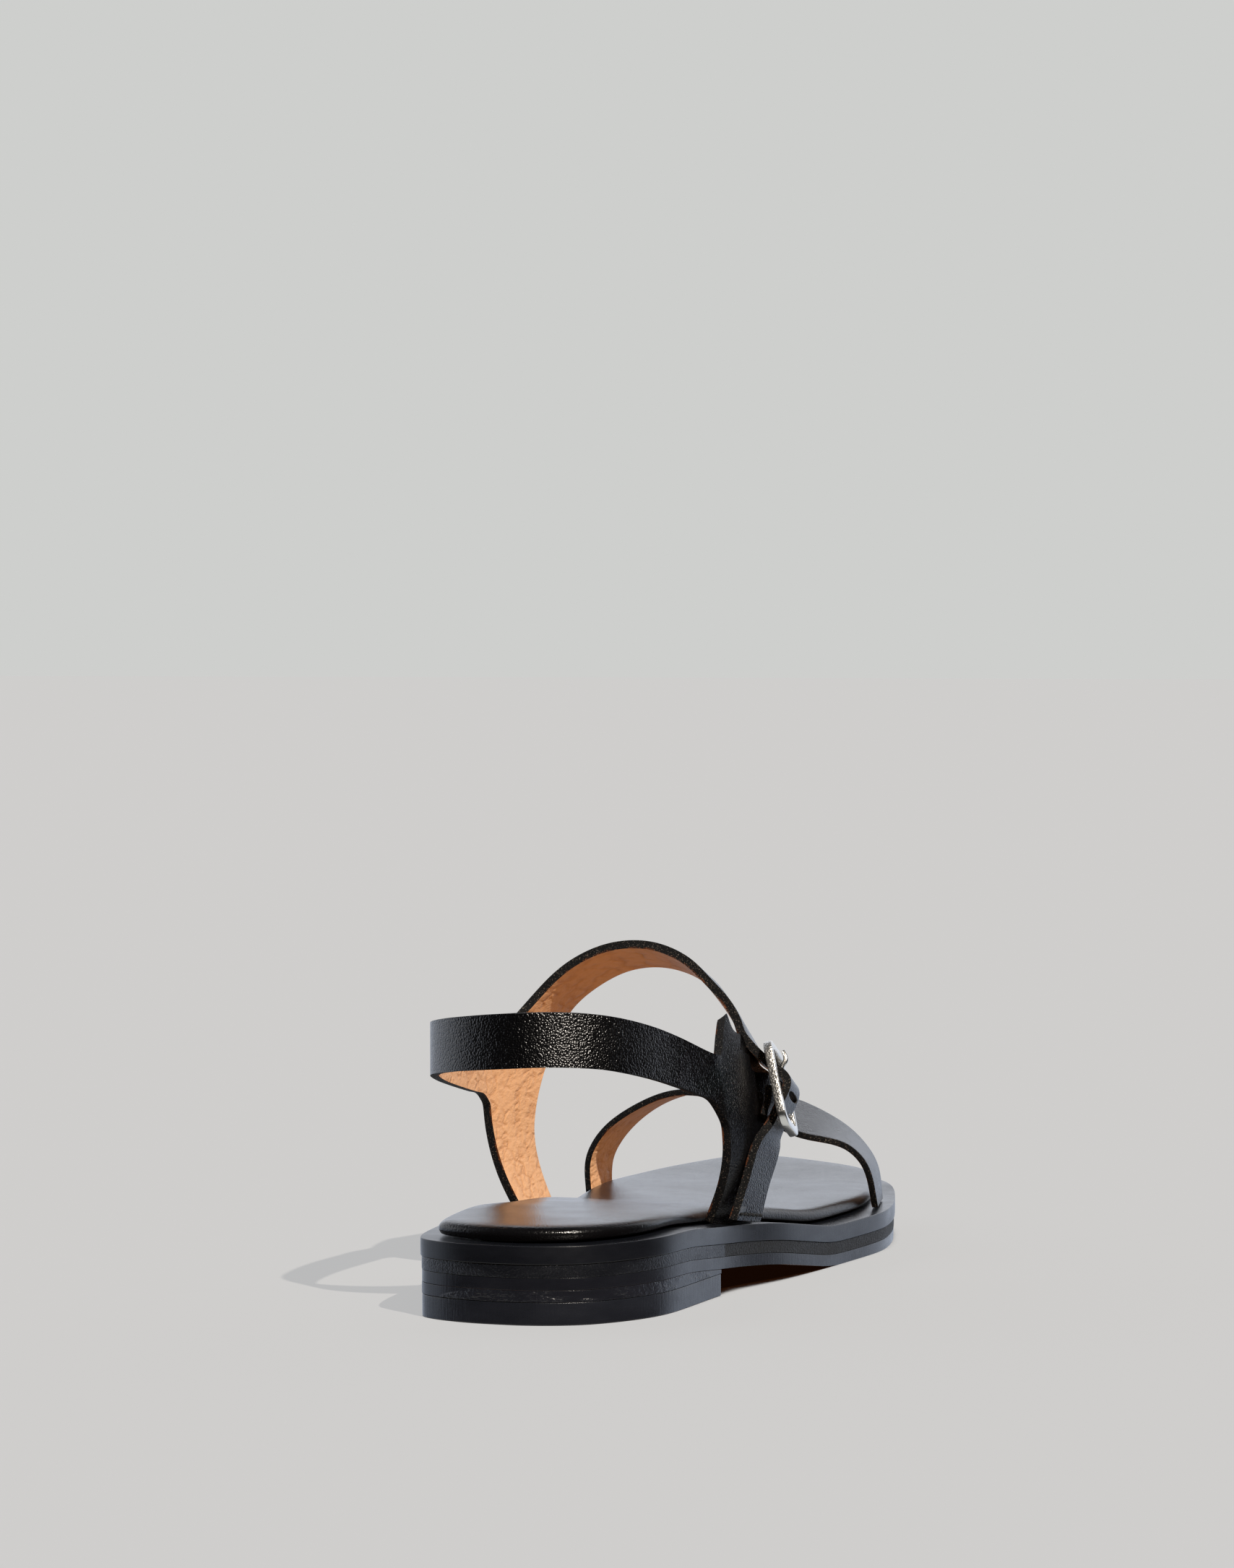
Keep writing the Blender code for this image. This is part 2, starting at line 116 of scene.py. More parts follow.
# %% [markdown]
# The light: one small sun from the camera's right gives the crisp shadow and the glints on the grain. A
# weak warm lamp from below, which casts no shadow, stands for the light that bounces between the tan
# linings. A tall pale backdrop beyond the sandal is what its glossy faces mirror. The sun's side, the
# ceiling and the room behind the camera stay dark, which is what keeps black leather black.

# %% Sun and backdrop
SUN_DIRECTION = Vector((0.58, -0.45, 0.68))
SUN_STRENGTH = 4.2
SUN_WIDTH = math.radians(0.8)
SUN_COLOUR = "fff6ea"
BOUNCE_DIRECTION = Vector((0.75, -0.60, -0.28))
BOUNCE_STRENGTH = 1.0
BOUNCE_COLOUR = "ffc896"
BACKDROP_MIDDLE = Vector((-0.64, 0.77, 0.0))
BACKDROP_EDGE = (0.05, 0.36)
BACKDROP_COLOUR = "cecfcd"
BACKDROP_STEPS = [
    # height of the direction, from 0 straight down to 1 straight up, colour, strength
    (0.00, "b4c0d6", 1.0),
    (0.40, "c2cee2", 1.1),
    (0.62, "eef2fa", 1.3),
    (0.76, "f4f7ff", 1.3),
    (0.90, "20242c", 1.0),
]
DARK_ROOM = "0d0f13"
BOUNCED_LIGHT = "ceaa92"
FLOOR_EDGE = (-0.35, -0.55)

bpy.context.scene.view_settings.view_transform = "Standard"
lamp = bpy.data.lights.new("sun", "SUN")
lamp.energy = SUN_STRENGTH
lamp.angle = SUN_WIDTH
lamp.color = linear(SUN_COLOUR)[:3]
sun = bpy.data.objects.new("sun", lamp)
sun.rotation_euler = SUN_DIRECTION.to_track_quat("Z", "Y").to_euler()
bpy.context.scene.collection.objects.link(sun)
lamp = bpy.data.lights.new("bounce", "SUN")
lamp.energy = BOUNCE_STRENGTH
lamp.color = linear(BOUNCE_COLOUR)[:3]
lamp.use_shadow = False
bounce_light = bpy.data.objects.new("bounce", lamp)
bounce_light.rotation_euler = BOUNCE_DIRECTION.to_track_quat("Z", "Y").to_euler()
bounce_light.visible_glossy = False
bpy.context.scene.collection.objects.link(bounce_light)

world = bpy.data.worlds.new("studio")
bpy.context.scene.world = world
world.use_nodes = True
sky = world.node_tree
direction = add_node(sky, "ShaderNodeTexCoord").outputs["Generated"]
facing = add_node(sky, "ShaderNodeVectorMath", {"operation": "DOT_PRODUCT"}, {1: BACKDROP_MIDDLE},
                  {0: direction})
width = add_node(sky, "ShaderNodeMapRange", {"interpolation_type": "SMOOTHSTEP"},
                 {"From Min": BACKDROP_EDGE[0], "From Max": BACKDROP_EDGE[1]},
                 {"Value": facing.outputs["Value"]})
apart = add_node(sky, "ShaderNodeSeparateXYZ", links={"Vector": direction})
height = add_node(sky, "ShaderNodeMapRange", values={"From Min": -1.0}, links={"Value": apart.outputs["Z"]})
ramp = add_node(sky, "ShaderNodeValToRGB", links={"Fac": height.outputs["Result"]})
ramp.color_ramp.elements.remove(ramp.color_ramp.elements[1])
for index, (at, colour, strength) in enumerate(BACKDROP_STEPS):
    step = ramp.color_ramp.elements[0] if index == 0 else ramp.color_ramp.elements.new(at)
    step.position = at
    step.color = [value * strength for value in linear(colour)]
room = add_node(sky, "ShaderNodeMix", {"data_type": "RGBA"}, {"A": linear(DARK_ROOM)},
                {"Factor": width.outputs["Result"], "B": ramp.outputs["Color"]})
below = add_node(sky, "ShaderNodeMapRange", {"interpolation_type": "SMOOTHSTEP"},
                 {"From Min": FLOOR_EDGE[0], "From Max": FLOOR_EDGE[1]}, {"Value": apart.outputs["Z"]})
path = add_node(sky, "ShaderNodeLightPath")
bounce = add_node(sky, "ShaderNodeMix", {"data_type": "RGBA"},
                  {"A": linear(BACKDROP_COLOUR), "B": linear(BOUNCED_LIGHT)},
                  {"Factor": path.outputs["Is Diffuse Ray"]})
with_floor = add_node(sky, "ShaderNodeMix", {"data_type": "RGBA"},
                      links={"Factor": below.outputs["Result"], "A": room.outputs["Result"],
                             "B": bounce.outputs["Result"]})
seen = add_node(sky, "ShaderNodeMix", {"data_type": "RGBA"}, {"B": linear(BACKDROP_COLOUR)},
                {"Factor": path.outputs["Is Camera Ray"], "A": with_floor.outputs["Result"]})
sky.links.new(seen.outputs["Result"], sky.nodes["Background"].inputs["Color"])
print("sun at", round(math.degrees(math.asin(SUN_DIRECTION.normalized().z))), "degrees")

# %% [markdown]
# The floor is a pale sheet. It glows a little of its own, so that the sandal's shadow on it stays light,
# except where something hangs close over it: there, under the arch, an ambient occlusion node turns its glow
# and colour to a painted dark brown shade.

# %% Floor
FLOOR_WHITE = "6b6b6b"
FLOOR_GLOW_COLOUR = "ffffff"
FLOOR_GLOW = 0.46
FLOOR_SIZE = 20.0
UNDER_ARCH_MM = 14.0
PAINTED_ARCH_SHADE_COLOUR = "1c0d05"
OPEN_SHARE = (0.38, 0.50)
OPEN_SAMPLES = 24

floor_mesh = bpy.data.meshes.new("floor")
bm = bmesh.new()
bmesh.ops.create_grid(bm, x_segments=1, y_segments=1, size=FLOOR_SIZE)
bm.to_mesh(floor_mesh)
bm.free()
floor = bpy.data.objects.new("floor", floor_mesh)
floor.visible_glossy = False
floor.visible_diffuse = False
bpy.context.scene.collection.objects.link(floor)
# Studio paper: an even pale white without any shine, with painted dark brown shade under the arch.
material, tree, shader, place = new_material("pale_floor")
near = add_node(tree, "ShaderNodeAmbientOcclusion", {"samples": OPEN_SAMPLES},
                {"Distance": UNDER_ARCH_MM * MM})
open_floor = add_node(tree, "ShaderNodeMapRange", {"interpolation_type": "SMOOTHSTEP"},
                      {"From Min": OPEN_SHARE[0], "From Max": OPEN_SHARE[1]}, {"Value": near.outputs["AO"]})
# Painted shade: where the arch hangs close overhead, both glow and colour turn to the dark brown.
for socket, colour in (("Emission Color", FLOOR_GLOW_COLOUR), ("Base Color", FLOOR_WHITE)):
    shade = add_node(tree, "ShaderNodeMix", {"data_type": "RGBA"},
                     {"A": linear(PAINTED_ARCH_SHADE_COLOUR), "B": linear(colour)},
                     {"Factor": open_floor.outputs["Result"]})
    tree.links.new(shade.outputs["Result"], shader.inputs[socket])
shader.inputs["Roughness"].default_value = 1.0
shader.inputs["Specular IOR Level"].default_value = 0.0
shader.inputs["Emission Strength"].default_value = FLOOR_GLOW
floor_mesh.materials.append(material)
print("floor:", FLOOR_SIZE, "m")

# %% [markdown]
# Leather is skin with a finish. The straps' outer face is grained black leather: small pebbles with
# narrow valleys under a satin finish. The real ones are about a third of a millimetre across; they are
# drawn coarser, so that they still show in the picture. Voronoi cells, bent by a little noise, give the
# pebbles, and bump turns them into light and shade.

# %% Grained black leather
PEBBLE_MM = 0.50
PEBBLE_WANDER = 4.0
PEBBLE_BEND = 0.9
PEBBLE_SOFTNESS = 0.2
GLOSS_PATCH_MM = 9.0
GLOSS_SWING = 0.05
LEATHER_IOR = 1.5


def grained_leather(name, colour, roughness, depth):
    """Black leather with pebbles; depth is their height in parts of a pebble's size."""
    material, tree, shader, place = new_material(name)
    wander = add_node(tree, "ShaderNodeTexNoise",
                      values={"Scale": 1.0 / (PEBBLE_WANDER * PEBBLE_MM * MM), "Detail": 2.0},
                      links={"Vector": place})
    bent = add_node(tree, "ShaderNodeVectorMath", {"operation": "MULTIPLY_ADD"},
                    {1: (PEBBLE_BEND * PEBBLE_MM * MM,) * 3}, {0: wander.outputs["Color"], 2: place})
    cells = add_node(tree, "ShaderNodeTexVoronoi", {"feature": "SMOOTH_F1"},
                     {"Scale": 1.0 / (PEBBLE_MM * MM), "Smoothness": PEBBLE_SOFTNESS},
                     {"Vector": bent.outputs["Vector"]})
    domes = add_node(tree, "ShaderNodeMath", {"operation": "POWER"}, {1: 2.0}, {0: cells.outputs["Distance"]})
    bump = add_node(tree, "ShaderNodeBump", {"invert": True}, {"Distance": depth * PEBBLE_MM * MM},
                    {"Height": domes.outputs["Value"]})
    tree.links.new(bump.outputs["Normal"], shader.inputs["Normal"])
    broad = add_node(tree, "ShaderNodeTexNoise", values={"Scale": 1.0 / (GLOSS_PATCH_MM * MM), "Detail": 3.0},
                     links={"Vector": place})
    gloss = add_node(tree, "ShaderNodeMapRange",
                     values={"To Min": roughness - GLOSS_SWING, "To Max": roughness + GLOSS_SWING},
                     links={"Value": broad.outputs["Fac"]})
    tree.links.new(gloss.outputs["Result"], shader.inputs["Roughness"])
    shade = add_node(tree, "ShaderNodeMix", {"data_type": "RGBA"},
                     {"A": linear(colour[0]), "B": linear(colour[1])}, {"Factor": broad.outputs["Fac"]})
    tree.links.new(shade.outputs["Result"], shader.inputs["Base Color"])
    shader.inputs["IOR"].default_value = LEATHER_IOR
    return material


# Finished strap leather: deep black, with a satin gleam that the pebbles break into glints.
strap_leather = grained_leather("black_grain_leather", ("040405", "070709"), roughness=0.26, depth=0.30)
# Smoother insole leather: black with a soft broad sheen.
insole_leather = grained_leather("black_insole_leather", ("08080a", "0e0e10"), roughness=0.24, depth=0.12)
print("leathers:", strap_leather.name, insole_leather.name)

# %% [markdown]
# Two broad shapes of the straps are too slight for the solids: the sling leans back a little, so that the
# sun glints on its grain, and the quarter swells towards the buckle. Both are heights in metres that a
# second bump node reads under the grain. The attribute "quarter" is 1 on the sling and the quarter.

# %% Lean and swell of the straps
SLING_LEAN = 0.22
SLING_HEIGHT = 0.067
SLING_FROM_Y = -0.062
SLING_FULL_Y = -0.082
QUARTER_SLOPE = 0.46
QUARTER_FROM_Y = -0.086
QUARTER_EASE = 0.024

tree = strap_leather.node_tree
place = tree.nodes["Texture Coordinate"].outputs["Object"]
apart = add_node(tree, "ShaderNodeSeparateXYZ", links={"Vector": place})
quarter = add_node(tree, "ShaderNodeAttribute", {"attribute_name": "quarter"})
ahead = add_node(tree, "ShaderNodeMath", {"operation": "SUBTRACT"}, {1: QUARTER_FROM_Y},
                 {0: apart.outputs["Y"]})
rise = add_node(tree, "ShaderNodeMath", {"operation": "SMOOTH_MAX"}, {1: 0.0, 2: QUARTER_EASE},
                {0: ahead.outputs["Value"]})
slope = add_node(tree, "ShaderNodeMath", {"operation": "MULTIPLY"}, {1: QUARTER_SLOPE},
                 {0: quarter.outputs["Fac"]})
swell = add_node(tree, "ShaderNodeMath", {"operation": "MULTIPLY"},
                 links={0: rise.outputs["Value"], 1: slope.outputs["Value"]})
behind = add_node(tree, "ShaderNodeMapRange",
                  values={"From Min": SLING_FROM_Y, "From Max": SLING_FULL_Y, "To Max": -SLING_LEAN},
                  links={"Value": apart.outputs["Y"]})
above = add_node(tree, "ShaderNodeMath", {"operation": "SUBTRACT"}, {1: SLING_HEIGHT},
                 {0: apart.outputs["Z"]})
height = add_node(tree, "ShaderNodeMath", {"operation": "MULTIPLY_ADD"},
                  links={0: above.outputs["Value"], 1: behind.outputs["Result"], 2: swell.outputs["Value"]})
broad = add_node(tree, "ShaderNodeBump", values={"Distance": 1.0}, links={"Height": height.outputs["Value"]})
tree.links.new(broad.outputs["Normal"], tree.nodes["Bump"].inputs["Normal"])
print("lean and swell added to", strap_leather.name)

# %% [markdown]
# The lining is undyed tan leather. Where the strap bends it wrinkles into small cushions with sharp
# valleys between them. Voronoi cells give the cushions: the distance to a cell's edge is 0 in the valley
# and grows towards the cushion's middle, once coarse and once fine. Noise bends the cells, another noise
# fades them in and out, because real wrinkles come and go, and all are squeezed upright, so that the
# valleys lie more level than steep.

# %% Tan lining
CRUMPLE_MM = 1.6
CREASES = [
    # spacing in mm, width in parts of it, depth
    (3.9, 0.20, 0.62),
    (2.1, 0.22, 0.20),
]
CREASE_BEND_MM = 1.3
CREASE_WANDER_MM = 4.0
CREASE_TILT = math.radians(14.0)
CREASE_SQUEEZE = (0.7, 0.65, 1.25)
CREASE_FADE_MM = 5.0
CREASE_FADE = (0.34, 0.62)
LINING_RELIEF_MM = 0.30
LINING_SHADE = (-0.5, 0.5)
LINING_VALLEY_SHADE_COLOURS = ("c28f63", "d9ab80")
LINING_ROUGHNESS = 0.6


def tan_lining(name):
    """Undyed lining leather, crumpled and creased."""
    material, tree, shader, place = new_material(name)
    squeezed = add_node(tree, "ShaderNodeMapping",
                        values={"Rotation": (CREASE_TILT, 0.0, 0.0), "Scale": CREASE_SQUEEZE},
                        links={"Vector": place})
    crumple = add_node(tree, "ShaderNodeTexNoise",
                       values={"Scale": 1.0 / (CRUMPLE_MM * MM), "Detail": 2.0},
                       links={"Vector": squeezed.outputs["Vector"]})
    fade = add_node(tree, "ShaderNodeTexNoise", values={"Scale": 1.0 / (CREASE_FADE_MM * MM), "Detail": 1.0},
                    links={"Vector": place})
    present = add_node(tree, "ShaderNodeMapRange", {"interpolation_type": "SMOOTHSTEP"},
                       {"From Min": CREASE_FADE[0], "From Max": CREASE_FADE[1]},
                       {"Value": fade.outputs["Fac"]})
    wander = add_node(tree, "ShaderNodeTexNoise",
                      values={"Scale": 1.0 / (CREASE_WANDER_MM * MM), "Detail": 2.0},
                      links={"Vector": place})
    bent = add_node(tree, "ShaderNodeVectorMath", {"operation": "MULTIPLY_ADD"},
                    {1: (CREASE_BEND_MM * MM,) * 3},
                    {0: wander.outputs["Color"], 2: squeezed.outputs["Vector"]})
    height = crumple.outputs["Fac"]
    for spacing_mm, width, depth in CREASES:
        cells = add_node(tree, "ShaderNodeTexVoronoi", {"feature": "DISTANCE_TO_EDGE"},
                         {"Scale": 1.0 / (spacing_mm * MM)}, {"Vector": bent.outputs["Vector"]})
        valley = add_node(tree, "ShaderNodeMapRange",
                          values={"From Max": width, "To Min": -depth, "To Max": 0.0},
                          links={"Value": cells.outputs["Distance"]})
        deeper = add_node(tree, "ShaderNodeMath", {"operation": "MULTIPLY_ADD"},
                          links={0: valley.outputs["Result"], 1: present.outputs["Result"], 2: height})
        height = deeper.outputs["Value"]
    bump = add_node(tree, "ShaderNodeBump", values={"Distance": LINING_RELIEF_MM * MM},
                    links={"Height": height})
    tree.links.new(bump.outputs["Normal"], shader.inputs["Normal"])
    # Painted shade: the colour darkens from the cushions' tops down into the crease valleys.
    raised = add_node(tree, "ShaderNodeMapRange",
                      values={"From Min": LINING_SHADE[0], "From Max": LINING_SHADE[1]},
                      links={"Value": height})
    shade = add_node(tree, "ShaderNodeMix", {"data_type": "RGBA"},
                     {"A": linear(LINING_VALLEY_SHADE_COLOURS[0]), "B": linear(LINING_VALLEY_SHADE_COLOURS[1])},
                     {"Factor": raised.outputs["Result"]})
    tree.links.new(shade.outputs["Result"], shader.inputs["Base Color"])
    shader.inputs["Roughness"].default_value = LINING_ROUGHNESS
    shader.inputs["IOR"].default_value = LEATHER_IOR
    return material


# Undyed leather: warm tan and nearly matt; a painted shade makes it a little darker in its valleys.
lining_leather = tan_lining("tan_lining_leather")
print("lining:", lining_leather.name)

# %% [markdown]
# A strap is cut, not folded, so its edge shows the raw section of the leather: dark, rough and fibrous,
# with brown where the black dye did not reach. The attribute "depth" runs from 0 at the outer face to 1
# at the lining, so the brown can sit on the lining's side.

# %% Raw cut edge
RAW_LEATHER_IOR = 1.33
RAW_ROUGHNESS = 0.75
FIBRE_MM = 0.36
FIBRE_SHARE = 0.5
FIBRE_RELIEF_MM = 0.25
DYE_PATCH_MM = 5.0
BROWN_RANGE = (1.74, 2.0)
FLECK_RANGE = (0.59, 0.70)
DYED_BLACK, PALE_FLECK, UNDYED_BROWN = "040405", "6e6861", "7a4522"


def raw_edge(name):
    """The cut section of dyed leather."""
    material, tree, shader, place = new_material(name)
    depth = add_node(tree, "ShaderNodeAttribute", {"attribute_name": "depth"}).outputs["Fac"]
    fibre = add_node(tree, "ShaderNodeTexNoise",
                     values={"Scale": 1.0 / (FIBRE_MM * MM), "Detail": 3.0, "Roughness": 0.6},
                     links={"Vector": place})
    patch = add_node(tree, "ShaderNodeTexNoise", values={"Scale": 1.0 / (DYE_PATCH_MM * MM), "Detail": 3.0},
                     links={"Vector": place})
    together = add_node(tree, "ShaderNodeMath", {"operation": "MULTIPLY_ADD"}, {1: FIBRE_SHARE},
                        {0: fibre.outputs["Fac"], 2: patch.outputs["Fac"]})
    inner = add_node(tree, "ShaderNodeMath", {"operation": "ADD"},
                     links={0: together.outputs["Value"], 1: depth})
    brown = add_node(tree, "ShaderNodeMapRange",
                     values={"From Min": BROWN_RANGE[0], "From Max": BROWN_RANGE[1]},
                     links={"Value": inner.outputs["Value"]})
    fleck = add_node(tree, "ShaderNodeMapRange",
                     values={"From Min": FLECK_RANGE[0], "From Max": FLECK_RANGE[1]},
                     links={"Value": fibre.outputs["Fac"]})
    black = add_node(tree, "ShaderNodeMix", {"data_type": "RGBA"},
                     {"A": linear(DYED_BLACK), "B": linear(PALE_FLECK)}, {"Factor": fleck.outputs["Result"]})
    both = add_node(tree, "ShaderNodeMix", {"data_type": "RGBA"}, {"B": linear(UNDYED_BROWN)},
                    {"Factor": brown.outputs["Result"], "A": black.outputs["Result"]})
    tree.links.new(both.outputs["Result"], shader.inputs["Base Color"])
    bump = add_node(tree, "ShaderNodeBump", values={"Strength": 1.0, "Distance": FIBRE_RELIEF_MM * MM},
                    links={"Height": fibre.outputs["Fac"]})
    tree.links.new(bump.outputs["Normal"], shader.inputs["Normal"])
    shader.inputs["Roughness"].default_value = RAW_ROUGHNESS
    shader.inputs["IOR"].default_value = RAW_LEATHER_IOR
    return material


# Raw dyed leather: almost black and matt, with pale fibres and brown along the lining.
cut_edge = raw_edge("raw_cut_edge")
print("edge:", cut_edge.name)

# %% [markdown]
# The sole's layers are sole leather, trimmed together on a wheel and waxed. The wax is satin, the wheel
# leaves fine upright scratches, and some layers are coarser: grit shows in patches where the wax did not
# fill it. Noise that is stretched upright gives the scratches, and broad noise the patches.

# %% Waxed sole edges
SCRATCH_MM = 0.4
SCRATCH_STRETCH = (1.0, 1.0, 0.06)
PATCH_MM = 9.0
PATCH_STRETCH = (0.5, 0.5, 1.6)
GRIT_RANGE = (0.45, 0.6)
WAX_RANGE = (0.3, 0.7)
WAX_SWING = (-0.05, 0.08)
SOLE_RELIEF_MM = 0.1


def waxed_edge(name, colour, roughness, scratches, grit, grit_mm=0.4, patchy=0.0):
    """Trimmed and waxed edge of sole leather, with wheel scratches and grit in patches."""
    material, tree, shader, place = new_material(name)
    upright = add_node(tree, "ShaderNodeMapping", values={"Scale": SCRATCH_STRETCH}, links={"Vector": place})
    wheel = add_node(tree, "ShaderNodeTexNoise", values={"Scale": 1.0 / (SCRATCH_MM * MM), "Detail": 3.0},
                     links={"Vector": upright.outputs["Vector"]})
    flat = add_node(tree, "ShaderNodeMapping", values={"Scale": PATCH_STRETCH}, links={"Vector": place})
    patch = add_node(tree, "ShaderNodeTexNoise",
                     values={"Scale": 1.0 / (PATCH_MM * MM), "Detail": 5.0, "Roughness": 0.65},
                     links={"Vector": flat.outputs["Vector"]})
    grains = add_node(tree, "ShaderNodeTexNoise", values={"Scale": 1.0 / (grit_mm * MM), "Detail": 2.0},
                      links={"Vector": place})
    shown = add_node(tree, "ShaderNodeMapRange", {"interpolation_type": "SMOOTHSTEP"},
                     {"From Min": GRIT_RANGE[0], "From Max": GRIT_RANGE[1],
                      "To Min": grit * (1.0 - patchy), "To Max": grit},
                     {"Value": patch.outputs["Fac"]})
    gritty = add_node(tree, "ShaderNodeMath", {"operation": "MULTIPLY"},
                      links={0: grains.outputs["Fac"], 1: shown.outputs["Result"]})
    height = add_node(tree, "ShaderNodeMath", {"operation": "MULTIPLY_ADD"}, {1: scratches},
                      {0: wheel.outputs["Fac"], 2: gritty.outputs["Value"]})
    bump = add_node(tree, "ShaderNodeBump", values={"Distance": SOLE_RELIEF_MM * MM},
                    links={"Height": height.outputs["Value"]})
    tree.links.new(bump.outputs["Normal"], shader.inputs["Normal"])
    gloss = add_node(tree, "ShaderNodeMapRange",
                     values={"From Min": WAX_RANGE[0], "From Max": WAX_RANGE[1],
                             "To Min": roughness + WAX_SWING[0], "To Max": roughness + WAX_SWING[1]},
                     links={"Value": patch.outputs["Fac"]})
    tree.links.new(gloss.outputs["Result"], shader.inputs["Roughness"])
    shade = add_node(tree, "ShaderNodeMix", {"data_type": "RGBA"},
                     {"A": linear(colour[0]), "B": linear(colour[1])}, {"Factor": patch.outputs["Fac"]})
    tree.links.new(shade.outputs["Result"], shader.inputs["Base Color"])
    shader.inputs["IOR"].default_value = LEATHER_IOR
    return material


# Waxed sole leather: dusty blue-black with a satin shine that the scratches and the grit break up; part of
# the blue-grey in its base colours is a painted bluish sheen.
welt_edge = waxed_edge("waxed_welt_edge", ("0d0f14", "15181f"), roughness=0.28, scratches=0.15, grit=0.15,
                       patchy=0.8)
midsole_heel_edge = waxed_edge("grainy_midsole_edge", ("0d0f14", "161920"), roughness=0.30, scratches=0.2,
                               grit=2.2, grit_mm=0.5, patchy=0.3)
outsole_edge = waxed_edge("waxed_outsole_edge", ("12141a", "1a1d25"), roughness=0.26, scratches=0.30,
                          grit=0.5, grit_mm=0.7, patchy=0.8)
heel_edge = waxed_edge("waxed_heel_edge", ("12141a", "1c1f28"), roughness=0.28, scratches=0.3,
                       grit=3.0, grit_mm=0.9, patchy=0.95)
top_piece_edge = waxed_edge("waxed_top_piece", ("16191f", "1e222b"), roughness=0.26, scratches=0.55,
                            grit=0.4, grit_mm=0.7, patchy=0.8)
# Unwaxed sole leather: the midsole is rough and matt black, the tread is left brown.
midsole_edge = waxed_edge("rough_midsole_edge", ("050506", "0e0e10"), roughness=0.55, scratches=0.1,
                          grit=4.0, grit_mm=0.5)
tread_leather = waxed_edge("brown_tread_leather", ("4a2a16", "6a3f22"), roughness=0.55, scratches=0.0,
                           grit=0.8)
print("sole finishes made")

# %% [markdown]
# Each piece starts as a copy of its solid. The copy's corners are merged and its triangles joined back
# into four-sided faces, because a subdivision surface rounds those evenly. Sharp rims get a narrow
# bevel first, which then holds the edge.

# %% Copying a solid
SHARP = math.radians(50.0)
MERGE_MM = 0.002
JOIN_BENT = math.radians(40.0)
JOIN_SKEWED = math.radians(80.0)


def copy_of(node):
    """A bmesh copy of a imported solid, with its corners merged and its faces four-sided."""
    bm = bmesh.new()
    bm.from_mesh(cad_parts[node].data)
    bmesh.ops.remove_doubles(bm, verts=bm.verts, dist=MERGE_MM * MM)
    bmesh.ops.join_triangles(bm, faces=bm.faces, angle_face_threshold=JOIN_BENT,
                             angle_shape_threshold=JOIN_SKEWED)
    return bm


def sharp_edges(bm):
    """Edges where two faces meet at more than the sharp angle."""
    return [edge for edge in bm.edges if len(edge.link_faces) == 2 and edge.calc_face_angle() > SHARP]


def bevel_rims(bm, width_mm):
    """Round the sharp rims a little."""
    bmesh.ops.bevel(bm, geom=sharp_edges(bm), offset=width_mm * MM, offset_type="OFFSET", segments=2,
                    profile=0.5, affect="EDGES", material=-1, clamp_overlap=True)


def dress(bm, name, node, materials, levels=2):
    """Turn a bmesh into a smooth piece; where a node is named, that solid is hidden."""
    mesh = bpy.data.meshes.new(name)
    bm.to_mesh(mesh)
    bm.free()
    mesh.shade_smooth()
    for material in materials:
        mesh.materials.append(material)
    piece = bpy.data.objects.new(name, mesh)
    bpy.context.scene.collection.objects.link(piece)
    if levels:
        surface = piece.modifiers.new("rounded", "SUBSURF")
        surface.levels = levels
        surface.render_levels = levels
    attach(piece, "root")
    if node:
        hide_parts(node)
    print(name, len(mesh.polygons), "faces")
    return piece


# %% [markdown]
# The sole is a stack: outsole, midsole and welt go under the whole foot, a lift and a thick top piece
# under the heel only. The tread below is left brown, so the outsole's underside has a finish of its own.
# The midsole is spliced at the heel's front: rough ahead of the splice, waxed smooth behind it.

# %% Sole layers
GLUE_GAP_MM = 0.3
SEAM_MM = 0.04
SPLICE_Y = -0.056
# How far up a face looks: 1 is straight up, -1 straight down.
LEVEL_FACE = 0.7
TREAD_FACE = -0.8
SECOND_FINISH = {"outsole": tread_leather, "midsole": midsole_heel_edge}
SOLE_LAYERS = [
    # node, slot, rim width in mm, finish, closed above, closed below
    ("outsole", "outsole_leather", 0.10, outsole_edge, True, True),
    ("midsole", "rough_midsole", 0.10, midsole_edge, True, True),
    ("welt", "welt_leather", 0.20, welt_edge, False, True),
    ("heel_lift", "heel_leather", 0.10, heel_edge, True, True),
    ("heel_top_piece", "top_piece_rubber", 0.25, top_piece_edge, True, False),
]


def close_seams(bm, above, below):
    """Thicken a layer by half of the gap to its neighbours, which leaves a hairline seam."""
    grow = (GLUE_GAP_MM - SEAM_MM) / 2 * MM
    moves = []
    for vert in bm.verts:
        for face in vert.link_faces:
            if abs(face.normal.z) > LEVEL_FACE:
                moves.append((vert, face.normal.z > 0.0))
                break
    for vert, is_top in moves:
        if is_top and above:
            vert.co.z += grow
        if not is_top and below:
            vert.co.z -= grow


for node, slot, rim_mm, finish, above, below in SOLE_LAYERS:
    bm = copy_of(node)
    close_seams(bm, above, below)
    bevel_rims(bm, rim_mm)
    for face in bm.faces:
        is_tread = node == "outsole" and face.normal.z < TREAD_FACE
        is_heel = node == "midsole" and face.calc_center_median().y < SPLICE_Y
        face.material_index = 1 if is_tread or is_heel else 0
    dress(bm, "sole_" + node, node, [finish, SECOND_FINISH.get(node, finish)])

